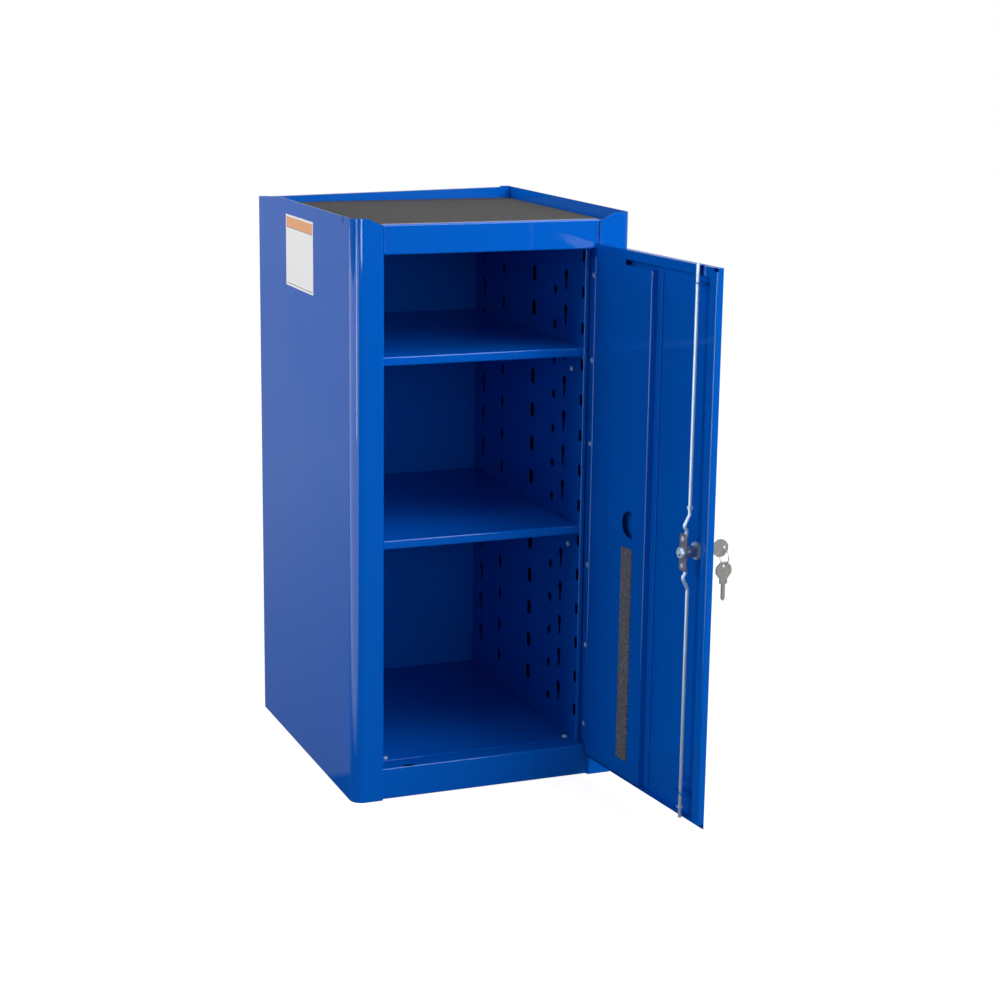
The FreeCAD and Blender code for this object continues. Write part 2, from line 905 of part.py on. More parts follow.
def hinge_rivets_cabinet():
    """Domed rivets that hold the hinge to the right post."""
    rivets = []
    for z in rivet_heights():
        face = Vector(opening_right - leaf_thickness, front + rivet_depth, z)
        sphere_radius = (rivet_head_radius ** 2 + rivet_head_height ** 2) / (2 * rivet_head_height)
        centre = face + Vector(sphere_radius - rivet_head_height, 0, 0)
        dome = Part.makeSphere(sphere_radius, centre)
        trim = Part.makeBox(sphere_radius, 4 * sphere_radius, 4 * sphere_radius)
        trim.translate(face - Vector(sphere_radius, 2 * sphere_radius, 2 * sphere_radius))
        rivets.append(fused(dome.common(trim), cabinet_rivet(z, rivet_radius)))
    return Part.makeCompound(rivets)


def door_rivet_places():
    y = hinge_y - door_leaf_width / 2
    return [Vector(hinge_x - knuckle_radius, y, z) for z in rivet_heights()]


def door_rivet_holes():
    return [
        Part.makeCylinder(door_rivet_radius, 4 * sheet, place - Vector(2 * sheet, 0, 0), Vector(1, 0, 0))
        for place in door_rivet_places()
    ]


def hinge_rivets_door():
    """Flush rivets that hold the hinge to the door's edge."""
    rivets = []
    for place in door_rivet_places():
        flush = Part.makeCylinder(
            door_rivet_radius, sheet + leaf_thickness, place - Vector(sheet, 0, 0), Vector(1, 0, 0)
        )
        head = Part.makeCylinder(
            door_rivet_head, sheet, place - Vector(2 * sheet, 0, 0), Vector(1, 0, 0)
        )
        rivets.append(fused(flush, head))
    return Part.makeCompound(rivets)


# ---------------------------------------------------------------- door
def door_pan():
    """Outer skin with its edges turned in and lips along the top and the free edge."""
    hinge_edge = knuckle_radius
    points = [
        (hinge_edge, door_thickness),
        (hinge_edge, 0),
        (door_width, 0),
        (door_width, door_thickness),
        (door_width - free_lip, door_thickness),
        (door_width - free_lip, door_thickness - free_lip_return),
    ]
    skin = [(hinge_x - across, door_face + back) for across, back in points]
    pan = folded(skin[::-1], [fold] * 4, in_plan, (door_bottom, door_top))
    across = (hinge_edge + sheet, door_width - sheet)
    top_edge = door_block(across, (sheet, door_thickness), (door_top - sheet, door_top))
    low = door_edge_bottom
    bottom_edge = door_block(across, (sheet, door_thickness), (low, low + sheet))
    lip_depth = (door_thickness - sheet, door_thickness)
    top_lip = door_block(across, lip_depth, (door_top - door_lip, door_top))
    behind_skirt = door_block(
        (0, door_width + 1), (sheet, door_thickness + 1), (door_bottom - 1, low)
    )
    skirt_span = (hinge_edge + fold, door_width - fold)
    hem = door_block(skirt_span, (sheet, 2 * sheet), (door_bottom, door_bottom + skirt_hem))
    pan = fused(pan.cut(behind_skirt), top_edge, bottom_edge, top_lip, hem)
    notch = (lock_across - rod_notch / 2, lock_across + rod_notch / 2)
    notch_depth = (door_thickness / 2, door_thickness + sheet)
    upper_notch = door_block(notch, notch_depth, (door_top - door_lip - 1, door_top + 1))
    lower_notch = door_block(notch, notch_depth, (low - 1, low + 2 * sheet))
    relief = door_block(
        (door_width - corner_relief, door_width + 1),
        (door_thickness - fold, door_thickness + 1),
        (door_top - corner_relief / 2, door_top + 1),
    )
    lock_hole = door_rod(lock_across, (-1, 2 * sheet), lock_height, lock_body_radius)
    return pan.cut([upper_notch, lower_notch, relief, lock_hole] + door_rivet_holes())


def door_inner_panel():
    """Stiffening panel on the hinge side with a D-shaped hole."""
    start = knuckle_radius + sheet
    end = panel_end
    low = door_edge_bottom + panel_rise
    lip_level = door_top - door_lip
    high = lip_level - stiffener_gap
    points = [(end, sheet), (end, door_thickness), (start, door_thickness)]
    skin = [(hinge_x - across, door_face + back) for across, back in points]
    body = folded(skin[::-1], [fold], in_plan, (low, high))
    foot = door_block((end - sheet, end + stiffener_foot), (sheet, 2 * sheet), (low, high))
    face_depth = (door_thickness - sheet, door_thickness)
    tab = door_block((start, start + stiffener_tab), face_depth, (high - sheet, lip_level))
    half = pull_radius
    disc = door_rod(pull_centre, (door_thickness - 2 * sheet, door_thickness + sheet), lock_height, half)
    square = door_block(
        (pull_centre, pull_centre + pull_flat),
        (door_thickness - 2 * sheet, door_thickness + sheet),
        (lock_height - half, lock_height + half),
    )
    beyond = door_block(
        (pull_centre + pull_flat, pull_centre + 2 * half),
        (0, 2 * door_thickness),
        (lock_height - half, lock_height + half),
    )
    pull = fused(disc, square).cut(beyond)
    return fused(body, foot, tab).cut(pull)


def foam_strip():
    """Speckled foam strip in two lengths on the inner panel."""
    across = (strip_start, strip_start + strip_width)
    back = (door_thickness, door_thickness + strip_thickness)
    start = door_bottom + strip_rise
    joint = start + strip_lower_length
    lower = door_block(across, back, (start, joint))
    upper = door_block(across, back, (joint + strip_gap, joint + strip_gap + strip_upper_length))
    return Part.makeCompound([lower, upper])


def rod_guide(z, foot_way):
    """Slotted angle bracket on the door's skin that steers a lock rod."""
    half = guide_width / 2
    across = (lock_across - half, lock_across + half)
    plate = door_block(across, (sheet, guide_reach), (z, z + guide_thickness))
    foot = door_block(
        across,
        (sheet, sheet + guide_thickness),
        (z + guide_thickness if foot_way < 0 else z, z + foot_way * guide_foot),
    )
    room = rod_radius + guide_swing
    slot = door_block(
        (lock_across - room, lock_across + room),
        (rod_depth - rod_radius - rod_gap, rod_depth + rod_radius + rod_gap),
        (z - 1, z + guide_thickness + 1),
    )
    return fused(plate, foot).cut(slot)


# ---------------------------------------------------------------- lock
def lock_body():
    """Fixed lock cylinder: a proud head outside and a barrel through the skin."""
    head = door_rod(lock_across, (-lock_head_length, 0), lock_height, lock_head_radius)
    barrel = door_rod(lock_across, (0, lock_body_length), lock_height, lock_body_radius)
    bore = door_rod(
        lock_across,
        (-lock_head_length - 1, lock_body_length + 1),
        lock_height,
        plug_radius + running_clearance,
    )
    return fused(head, barrel).cut(bore)


def lock_nut():
    ring = door_rod(lock_across, (sheet, sheet + lock_nut_height), lock_height, lock_nut_radius)
    return ring.cut(door_rod(lock_across, (0, 2 * lock_nut_height), lock_height, lock_body_radius))


def lock_plug():
    """Turning plug with the keyway at its front and a stub for the cam."""
    start = -lock_head_length - plug_proud
    plug = door_rod(lock_across, (start, plug_end), lock_height, plug_radius)
    stub = door_rod(lock_across, (plug_end, cam_face + stub_length), lock_height, stub_radius)
    half_thick = key_thickness / 2 + keyway_clearance
    half_wide = key_blade_width / 2 + keyway_clearance
    keyway = door_block(
        (lock_across - half_thick, lock_across + half_thick),
        (start - 1, start + keyway_depth),
        (lock_height - half_wide, lock_height + half_wide),
    )
    return fused(plug, stub).cut(keyway)


def cam_plate():
    """Plate that carries both rods, one pivot above and one below its centre."""
    half = cam_width / 2
    plate = door_block(
        (lock_across - half, lock_across + half),
        (plug_end, cam_face),
        (lock_height - cam_length / 2, lock_height + cam_length / 2),
    )
    corners = [one for one in plate.Edges if abs(one.tangentAt(one.FirstParameter).y) > 0.9]
    plate = plate.makeFillet(cam_corner, corners)
    depth_span = (plug_end - 1, cam_face + 1)
    holes = [door_rod(lock_across, depth_span, lock_height, stub_radius)]
    for way in (-1, 1):
        z = lock_height + way * cam_throw
        holes.append(door_rod(lock_across, depth_span, z, rod_radius + running_clearance))
    return plate.cut(holes)


def cam_washer():
    span = (cam_face, cam_face + cam_washer_thickness)
    washer = door_rod(lock_across, span, lock_height, cam_washer_radius)
    return washer.cut(door_rod(lock_across, span, lock_height, stub_radius))


def cam_nut():
    """Hexagon nut on the plug's stub."""
    start = cam_face + cam_washer_thickness
    corner = cam_nut_flats / 2 / math.cos(math.radians(30))
    points = []
    for step in range(6):
        angle = math.radians(60 * step)
        x = hinge_x - lock_across + corner * math.cos(angle)
        points.append((x, lock_height + corner * math.sin(angle)))
    nut = prism(points, in_elevation, (door_face + start, door_face + start + cam_nut_height))
    bore = door_rod(lock_across, (start - 1, start + cam_nut_height + 1), lock_height, stub_radius)
    return nut.cut(bore)


# ---------------------------------------------------------------- rods
def lock_rod(way, tip):
    """Rod from a pin through the cam, up behind the plate and along the door."""
    pin_end = cam_face + rod_clip_gap + rod_clip_thickness + rod_pin_tail
    route = [
        (pin_end, lock_height + way * cam_throw),
        (rod_cam_depth, lock_height + way * cam_throw),
        (rod_cam_depth, lock_height + way * rod_jog_end),
        (rod_crest_depth, lock_height + way * rod_crest),
        (rod_depth, lock_height + way * rod_jog_start),
        (rod_depth, tip),
    ]

    def lift(point):
        return door_point(lock_across, point[0], point[1])

    edges = rounded_edges(route, [rod_pin_bend] + [rod_jog_bend] * 3, lift)
    path = Part.Wire(edges)
    circle = Part.makeCircle(rod_radius, lift(route[0]), Vector(0, -1, 0))
    return path.makePipeShell([Part.Wire(circle)], True, True)


def rod_clip(way):
    """Push-on clip that keeps a rod's end in the cam plate."""
    start = cam_face + rod_clip_gap
    back = (start, start + rod_clip_thickness)
    z = lock_height + way * cam_throw
    return door_rod(lock_across, back, z, rod_clip_radius).cut(
        door_rod(lock_across, back, z, rod_radius)
    )


def collar(z, radius, length):
    """Ring fixed round the straight run of a rod."""
    start = door_point(lock_across, rod_depth, z)
    outer = Part.makeCylinder(radius, length, start)
    return outer.cut(Part.makeCylinder(rod_radius, length, start))


# ---------------------------------------------------------------- keys
def flat_key(origin_back, origin_z, along):
    """Key lying in an upright plane square to the door; along is its way."""
    neck_end = key_bow_length + key_neck_length
    half_blade = key_blade_width / 2
    profile = [
        (0, key_bow_end / 2),
        (key_facet_run, key_facet_width / 2),
        (key_widest_run, key_bow_width / 2),
        (key_shoulder_run, key_shoulder_width / 2),
        (key_bow_length, key_root_width / 2),
        (neck_end - key_neck_step, key_neck_width / 2),
        (neck_end, half_blade),
        (key_length - half_blade, half_blade),
        (key_length, key_tip_width / 2),
    ]
    outline = profile + [(run, -across) for run, across in reversed(profile)]
    points = []
    for run, across in outline:
        back = origin_back + along[0] * run + along[1] * across
        z = origin_z + along[1] * run - along[0] * across
        points.append((door_face + back, z))
    middle = hinge_x - lock_across
    span = (middle - key_thickness / 2, middle + key_thickness / 2)
    body = prism(points, in_section, span)
    hole_back = origin_back + along[0] * key_hole_inset
    hole_z = origin_z + along[1] * key_hole_inset
    start = Vector(span[0] - 1, door_face + hole_back, hole_z)
    hole = Part.makeCylinder(key_hole_radius, key_thickness + 2, start, Vector(1, 0, 0))
    return body.cut(hole)


def key_bow_back():
    """Back coordinate of the bow's end of the key in the lock."""
    return -lock_head_length - plug_proud + key_inserted - key_length


def ring_top():
    """Centre of the ring's wire where it hangs in the first key's hole."""
    drop = key_hole_radius - ring_wire_radius - hang_gap
    return key_bow_back() + key_hole_inset, lock_height - drop


def key_ring():
    back, z = ring_top()
    centre = door_point(lock_across, back, z - ring_radius)
    return Part.makeTorus(ring_radius, ring_wire_radius, centre, Vector(0, 1, 0))


def ring_bottom():
    """Centre of the ring's wire where the spare key hangs."""
    back, z = ring_top()
    return back, z - 2 * ring_radius


def spare_key():
    back, z = ring_bottom()
    drop = key_hole_radius - ring_wire_radius - hang_gap
    return flat_key(back, z - drop + key_hole_inset, (0, -1))


def label_card():
    """Blank card on the left side."""
    return block(
        (left - label_thickness, left),
        (front + label_front, front + label_front + label_width),
        (height - label_drop - label_height, height - label_drop),
    )


# ---------------------------------------------------------------- assembly
fixed_pieces = {
    "left_side_panel": left_side_panel(),
    "right_side_panel": right_side_panel(),
    "back_panel": back_panel(),
    "header_rail": header_rail(),
    "bottom_rail": bottom_rail(),
    "floor_panel": floor_panel(),
    "floor_brackets": floor_brackets(),
    "floor_stiffener": floor_stiffener(),
    "top_tray": top_tray(),
    "top_mat": top_mat(),
    "left_inner_wall": inner_wall(left_wall, -1),
    "right_inner_wall": inner_wall(right_wall, 1),
    "left_wall_channel": wall_channel(left_wall, -1),
    "right_wall_channel": wall_channel(right_wall, 1),
    "panel_screws": panel_screws(),
    "hinge_cabinet_leaf": hinge_cabinet_leaf(),
    "hinge_pin": hinge_pin(),
    "hinge_rivets_cabinet": hinge_rivets_cabinet(),
    "label_card": label_card(),
}
for shelf_name, shelf_top in shelf_tops.items():
    fixed_pieces[shelf_name] = shelf(shelf_top)

door_pieces = {
    "door_pan": door_pan(),
    "door_inner_panel": door_inner_panel(),
    "foam_strip": foam_strip(),
    "hinge_door_leaf": hinge_door_leaf(),
    "hinge_rivets_door": hinge_rivets_door(),
    "upper_rod_guide": rod_guide(upper_guide_height, -1),
    "lower_rod_guide": rod_guide(lower_guide_height, 1),
    "lock_body": lock_body(),
    "lock_nut": lock_nut(),
    "lock_plug": lock_plug(),
    "cam_plate": cam_plate(),
    "cam_washer": cam_washer(),
    "cam_nut": cam_nut(),
    "upper_rod": lock_rod(1, upper_rod_tip),
    "lower_rod": lock_rod(-1, lower_rod_tip),
    "upper_rod_clip": rod_clip(1),
    "lower_rod_clip": rod_clip(-1),
    "upper_rod_bead": collar(lock_height + bead_offset, bead_radius, bead_height),
    "lower_rod_ring": collar(stop_ring_height, stop_ring_radius, stop_ring_thickness),
    "key": flat_key(key_bow_back(), lock_height, (1, 0)),
    "key_ring": key_ring(),
    "spare_key": spare_key(),
}

os.makedirs("parts", exist_ok=True)
pieces = dict(fixed_pieces)
for name, shape in door_pieces.items():
    pieces[name] = swing_open(shape)
for name, shape in pieces.items():
    shape.exportStep(os.path.join("parts", name + ".step"))
    print(f"{name:22s} solids {len(shape.Solids)} volume {shape.Volume:12.1f} valid {shape.isValid()}")
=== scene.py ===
"""Side locker for a tool chest, dressed: paint, mat, lock, keys, label, light and camera.

Metres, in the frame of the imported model: X across the front, Y to the back, Z up.
"""

import json
import math
import random

import bmesh
import bpy
from mathutils import Matrix, Vector


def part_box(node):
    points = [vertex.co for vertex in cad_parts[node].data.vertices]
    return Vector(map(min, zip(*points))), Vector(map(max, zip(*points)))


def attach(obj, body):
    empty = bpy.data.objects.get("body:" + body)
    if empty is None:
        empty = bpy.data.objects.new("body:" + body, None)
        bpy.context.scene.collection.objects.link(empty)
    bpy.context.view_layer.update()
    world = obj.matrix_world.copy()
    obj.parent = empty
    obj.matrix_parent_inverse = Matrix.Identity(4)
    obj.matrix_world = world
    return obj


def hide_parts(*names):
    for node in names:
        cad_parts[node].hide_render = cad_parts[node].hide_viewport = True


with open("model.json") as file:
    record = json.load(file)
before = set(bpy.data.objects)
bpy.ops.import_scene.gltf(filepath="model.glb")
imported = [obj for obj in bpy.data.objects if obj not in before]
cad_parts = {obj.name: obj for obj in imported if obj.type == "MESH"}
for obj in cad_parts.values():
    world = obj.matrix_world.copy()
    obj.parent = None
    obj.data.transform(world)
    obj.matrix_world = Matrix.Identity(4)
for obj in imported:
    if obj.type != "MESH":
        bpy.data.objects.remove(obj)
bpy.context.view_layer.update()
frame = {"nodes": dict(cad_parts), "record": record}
nodes = frame["nodes"]
bpy.context.scene.view_settings.view_transform = "Standard"

# ---------------------------------------------------------------- camera
# Stands three metres off the left front corner, a little above the locker's top, and looks
# slightly down on it through a long lens.
CAMERA_PLACE = Vector((-1.06452, -2.90210, 1.08463))
CAMERA_YAW = 0.38262
CAMERA_PITCH = 0.22675
CAMERA_ROLL = 0.01351
CAMERA_FOCUS = 2.13592        # focal length in frame widths

camera_data = bpy.data.cameras.new("camera")
camera_data.sensor_width = 36.0
camera_data.lens = CAMERA_FOCUS * camera_data.sensor_width
camera_data.clip_end = 60.0
camera = bpy.data.objects.new("camera", camera_data)
bpy.context.scene.collection.objects.link(camera)
turn = (
    Matrix.Rotation(-CAMERA_YAW, 4, "Z")
    @ Matrix.Rotation(math.radians(90) - CAMERA_PITCH, 4, "X")
    @ Matrix.Rotation(CAMERA_ROLL, 4, "Z")
)
camera.matrix_world = Matrix.Translation(CAMERA_PLACE) @ turn
bpy.context.scene.camera = camera


# ---------------------------------------------------------------- blue powder coat
# Every folded sheet of the locker is sprayed in one glossy blue. The coat lies thick, with the
# faint orange peel of powder paint, and picks up fine dust and hand marks.
class Socket:
    """One output of a material's node. Sums, products and comparisons add Math nodes."""

    def __init__(self, tree, link):
        self.tree = tree
        self.link = link

    def node(self, kind, inputs=(), output=0, stops=(), **settings):
        """Add a node of a kind: its settings and a ramp's stops first, then its sockets."""
        added = self.tree.nodes.new(kind)
        for name, value in settings.items():
            setattr(added, name, value)
        if stops:
            elements = added.color_ramp.elements
            while len(elements) < len(stops):
                elements.new(1.0)
            for element, (place, shade) in zip(elements, stops):
                element.position = place
                element.color = (*shade, 1.0)
        for name, value in dict(inputs).items():
            if isinstance(value, Socket):
                self.tree.links.new(value.link, added.inputs[name])
            else:
                added.inputs[name].default_value = value
        return Socket(self.tree, added.outputs[output])

    def maths(self, operation, *terms):
        """A Math node on some terms, each a socket or a number."""
        return self.node("ShaderNodeMath", dict(enumerate(terms)), operation=operation)

    def __add__(self, other):
        return self.maths("ADD", self, other)

    def __sub__(self, other):
        return self.maths("SUBTRACT", self, other)

    def __rsub__(self, other):
        return self.maths("SUBTRACT", other, self)

    def __mul__(self, other):
        return self.maths("MULTIPLY", self, other)

    def __abs__(self):
        return self.maths("ABSOLUTE", self)

    def __gt__(self, limit):
        """1 where the value is over a limit, else 0."""
        return self.maths("GREATER_THAN", self, limit)

    def __lt__(self, limit):
        """1 where the value is under a limit, else 0."""
        return self.maths("LESS_THAN", self, limit)

    __radd__ = __add__
    __rmul__ = __mul__

    def within(self, low, high):
        """The value, held between two limits."""
        raised = self.maths("MAXIMUM", self, low)
        return self.maths("MINIMUM", raised, high)

    def between(self, low, high):
        """1 where the value lies between two limits, else 0."""
        return (self > low) * (self < high)

    def spread(self, first, second):
        """Value that runs from the first to the second as this one goes from 0 to 1."""
        return self * (second - first) + first

    def blended(self, first, second):
        """Colour that runs from the first to the second as this mask goes from 0 to 1."""
        sockets = {"Factor": self, "A": first, "B": second}
        mix = self.tree.nodes.new("ShaderNodeMix")
        mix.data_type = "RGBA"
        for name, value in sockets.items():
            socket = next(s for s in mix.inputs if s.name == name and s.enabled)
            if isinstance(value, Socket):
                self.tree.links.new(value.link, socket)
            else:
                socket.default_value = value
        return Socket(self.tree, next(s for s in mix.outputs if s.enabled))


def finish(name):
    """A new material: its tree's position socket, and a function that sets its shader."""
    material = bpy.data.materials.new(name)
    material.use_nodes = True
    tree = material.node_tree
    shader = tree.nodes["Principled BSDF"]
    place = tree.nodes.new("ShaderNodeTexCoord").outputs["Object"]

    def coat(**sockets):
        for key, value in sockets.items():
            socket = shader.inputs[key.replace("_", " ")]
            if isinstance(value, Socket):
                tree.links.new(value.link, socket)
            else:
                socket.default_value = value
        return material

    return Socket(tree, place), coat


def axis(place, name):
    """One coordinate of a position or a direction."""
    return place.node("ShaderNodeSeparateXYZ", {"Vector": place}, output="XYZ".index(name))


def noise(place, scale, detail=2.0, roughness=0.5):
    sockets = {"Vector": place, "Scale": scale, "Detail": detail, "Roughness": roughness}
    return place.node("ShaderNodeTexNoise", sockets)


def bump(place, height, distance, strength, edge=0.0):
    """Surface relief; an edge radius also rounds sharp edges as a thick coat does."""
    sockets = {"Height": height, "Distance": distance, "Strength": strength}
    if edge:
        sockets["Normal"] = place.node("ShaderNodeBevel", {"Radius": edge})
    return place.node("ShaderNodeBump", sockets)


def colour(red, green, blue):
    return (red, green, blue, 1.0)


PAINT_BRIGHT = colour(0.0008, 0.128, 0.640)
PAINT_DEEP = colour(0.0004, 0.118, 0.600)
PAINT_EDGE = 0.0010           # radius that the coat gives to a sheet's cut edge
DRIFT_SCALE = 3.0             # sizes of the marks, as noise scales per metre
DUST_SCALE = 7.0
WAVE_SCALE = 11.0
PEEL_SCALE = 260.0
SPECK_SCALE = 900.0
PEEL_SHARE = 0.08             # orange peel beside the sheet's own slow waves
PAINT_RELIEF = 0.0006
RELIEF_STRENGTH = 0.3
DUSTY_GLOSS = 0.7             # share of the gloss left under the heaviest dust


def blue_paint():
    place, coat = finish("blue_powder_coat")
    drift = noise(place, DRIFT_SCALE)
    dust = noise(place, DUST_SCALE, detail=6.0, roughness=0.7)
    specks = noise(place, SPECK_SCALE, detail=3.0)
    peel = noise(place, PEEL_SCALE, detail=1.0)
    waves = noise(place, WAVE_SCALE, detail=1.0)
    relief = peel * PEEL_SHARE + waves
    return coat(
        Base_Color=drift.blended(PAINT_DEEP, PAINT_BRIGHT),
        Roughness=specks.spread(0.35, 0.50),
        Specular_IOR_Level=0.0,
        Coat_Weight=dust.spread(1.0, DUSTY_GLOSS),
        Coat_Roughness=0.05,
        Coat_IOR=1.45,
        Normal=bump(place, relief, PAINT_RELIEF, RELIEF_STRENGTH, PAINT_EDGE),
    )


PAINT = blue_paint()


def dress(name, material):
    """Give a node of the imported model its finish."""
    mesh = nodes[name].data
    mesh.materials.clear()
    mesh.materials.append(material)


for part in frame["record"]["subparts"]:
    if part["material_slot"] == "blue_paint":
        dress(part["node"], PAINT)

# ---------------------------------------------------------------- weld beads
# Short runs of weld where the header meets the two posts, ground off and painted over, with
# the small lumps that grinding leaves.
WELD_RADIUS = 0.0015
WELD_LUMP = 0.0005
WELD_SET_IN = 0.0016          # the weld runs on the header, this far from its end
WELD_STEP = 0.0022
WELD_SIDES = 8


def skin(shape, rings):
    """Join like rings of corners one to the next, and close both ends."""
    for lower, upper in zip(rings, rings[1:]):
        for side in range(len(lower)):
            beside = (side + 1) % len(lower)
            shape.faces.new((lower[side], lower[beside], upper[beside], upper[side]))
    shape.faces.new(rings[0])
    shape.faces.new(rings[-1])


def tube(name, points, radii, sides, aside):
    """Closed tube along some points. Its rings lie square to the run; aside fixes their turn."""
    shape = bmesh.new()
    rings = []
    for index, (point, radius) in enumerate(zip(points, radii)):
        before = points[max(index - 1, 0)]
        after = points[min(index + 1, len(points) - 1)]
        first = (after - before).cross(aside).normalized()
        second = (after - before).cross(first).normalized()
        ring = []
        for side in range(sides):
            angle = math.tau * side / sides
            offset = first * math.cos(angle) + second * math.sin(angle)
            ring.append(shape.verts.new(point + offset * radius))
        rings.append(ring)
    skin(shape, rings)
    return made(name, shape)


def made(name, shape, smooth=True):
    """Turn a finished mesh into an object of the scene."""
    bmesh.ops.recalc_face_normals(shape, faces=shape.faces)
    for face in shape.faces:
        face.smooth = smooth
    mesh = bpy.data.meshes.new(name)
    shape.to_mesh(mesh)
    shape.free()
    piece = bpy.data.objects.new(name, mesh)
    bpy.context.scene.collection.objects.link(piece)
    return piece


def fitted(piece, material, body):
    """Give a new piece its finish and the body that it moves with."""
    piece.data.materials.append(material)
    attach(piece, body)


def weld_bead(name, x):
    """Bead on the front of the header rail, at this place across it."""
    header_low, header_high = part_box("header_rail")
    lumps = random.Random(name)
    count = int((header_high.z - header_low.z) / WELD_STEP)
    heights = [header_low.z + WELD_STEP * (step + 0.5) for step in range(count)]
    points = [Vector((x, header_low.y, z)) for z in heights]
    radii = [WELD_RADIUS + WELD_LUMP * lumps.uniform(-1.0, 1.0) for _ in heights]
    bead = tube(name, points, radii, WELD_SIDES, Vector((0, 1, 0)))
    fitted(bead, PAINT, "cabinet")


weld_bead("weld_left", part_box("header_rail")[0].x + WELD_SET_IN)
weld_bead("weld_right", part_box("header_rail")[1].x - WELD_SET_IN)

# ---------------------------------------------------------------- top mat
# A loose mat of dark rubber, pressed with fine ribs from front to back. It lies in the tray
# with nothing to hold it, and is worn paler in scuffs along the tops of its ribs; its grooves
# are kept darker as painted shade.
RIB_PITCH = 0.0054
RIB_HEIGHT = 0.0010
RIB_TOP = 0.0026              # flat of a rib
RIB_SIDE = 0.0006             # run of its sloping side
MAT_CORNER = 0.0040
RUBBER_LIGHT = colour(0.145, 0.142, 0.140)
RUBBER_DARK = colour(0.022, 0.022, 0.023)
GRAIN_SCALE = 1400.0
SPOT_SCALE = 420.0
SPOT_CONTRAST = 2.4           # makes separate spots of a soft noise
SPOT_CUT = 0.7
SPOT_SHARE = 0.6              # spots against grain in the rubber's wear
GROOVE_SHADE = 0.25           # painted shade: the share of the scuffs' paleness that the grooves keep


def rubber():
    place, coat = finish("mat_rubber")
    grain = noise(place, GRAIN_SCALE)
    clouds = noise(place, SPOT_SCALE, detail=1.0)
    spots = (clouds * SPOT_CONTRAST - SPOT_CUT).within(0.0, 1.0)
    scuffed = spots * SPOT_SHARE + grain * (1.0 - SPOT_SHARE)
    mat_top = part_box("top_mat")[1].z
    # Painted shade: the grooves between the ribs stay darker than the scuffed rib tops.
    ribs = axis(place, "Z") > mat_top - RIB_HEIGHT / 2
    wear_and_groove_shade = scuffed * ribs.spread(GROOVE_SHADE, 1.0)
    return coat(
        Base_Color=wear_and_groove_shade.blended(RUBBER_DARK, RUBBER_LIGHT),
        Roughness=0.75,
        Normal=bump(place, grain, distance=0.0004, strength=0.5),
    )


def mat_stations(low, high):
    """Places across the mat where its top bends, each with its height."""
    stations = [(low.x, high.z - RIB_HEIGHT)]
    x = low.x + RIB_PITCH / 2
    while x + RIB_TOP + 2 * RIB_SIDE < high.x:
        for run, z in ((0, -RIB_HEIGHT), (RIB_SIDE, 0), (RIB_TOP, 0), (RIB_SIDE, -RIB_HEIGHT)):
            x += run
            stations.append((x, high.z + z))
        x += RIB_PITCH - RIB_TOP - 2 * RIB_SIDE
    stations.append((high.x, high.z - RIB_HEIGHT))
    return stations


def corner_inset(distance):
    """How far a round corner draws the end back, this far in from the side."""
    reach = max(MAT_CORNER - distance, 0.0)
    return MAT_CORNER - math.sqrt(MAT_CORNER ** 2 - reach ** 2)


def ribbed_mat():
    low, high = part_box("top_mat")
    shape = bmesh.new()
    rows = []
    for x, z in mat_stations(low, high):
        inset = corner_inset(min(x - low.x, high.x - x))
        front, back = low.y + inset, high.y - inset
        corners = ((front, low.z), (front, z), (back, z), (back, low.z))
        rows.append([shape.verts.new((x, y, height)) for y, height in corners])
    skin(shape, rows)
    return made("ribbed_mat", shape, smooth=False)


mat = ribbed_mat()
fitted(mat, rubber(), "cabinet")
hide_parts("top_mat")

# ---------------------------------------------------------------- rods, lock and fasteners
# Rods, clips, nuts, rivets and screws are plated in bright zinc; the cam plate, its washer and
# the hinge pin are a darker steel. The lock is turned and chromed, the keys are stamped and
# nickelled.
METAL_EDGE = 0.0004           # radius of a stamped edge
METAL_RELIEF = 0.0001
METAL_STRENGTH = 0.25
MARK_FINENESS = 5.0           # fine scratches against the plating's mottle
MARK_ROUGHNESS = 0.15         # that the heaviest of them add
ZINC_LIGHT = colour(0.66, 0.84, 1.0)
ZINC_DARK = colour(0.50, 0.66, 0.84)
STEEL_LIGHT = colour(0.42, 0.42, 0.44)
STEEL_DARK = colour(0.20, 0.20, 0.22)
CHROME_LIGHT = colour(0.62, 0.65, 0.70)
CHROME_DARK = colour(0.36, 0.38, 0.43)
NICKEL_LIGHT = colour(0.95, 0.92, 0.86)
NICKEL_DARK = colour(0.38, 0.37, 0.34)
DARKER_STEEL = ("cam_plate", "cam_washer", "hinge_pin")


def metal(name, light, dark, roughness, bare, scale=400.0):
    """Plated metal; bare is how far it shows as metal, and scale how fine its mottle is."""
    place, coat = finish(name)
    mottle = noise(place, scale, detail=3.0)
    marks = noise(place, scale * MARK_FINENESS)
    return coat(
        Base_Color=mottle.blended(dark, light),
        Metallic=bare,
        Roughness=marks * MARK_ROUGHNESS + roughness,
        Normal=bump(place, marks, METAL_RELIEF, METAL_STRENGTH, METAL_EDGE),
    )


ZINC = metal("bright_zinc", ZINC_LIGHT, ZINC_DARK, roughness=0.28, bare=0.4)
STEEL = metal("plated_steel", STEEL_LIGHT, STEEL_DARK, roughness=0.25, bare=0.9)
CHROME = metal("lock_chrome", CHROME_LIGHT, CHROME_DARK, roughness=0.2, bare=0.85)
NICKEL = metal("key_nickel", NICKEL_LIGHT, NICKEL_DARK, roughness=0.3, bare=0.55, scale=380.0)
PLATINGS = {"zinc_steel": ZINC, "lock_chrome": CHROME, "key_nickel": NICKEL}
for part in frame["record"]["subparts"]:
    slot = part["material_slot"]
    if slot in PLATINGS:
        plating = STEEL if part["node"] in DARKER_STEEL else PLATINGS[slot]
        dress(part["node"], plating)

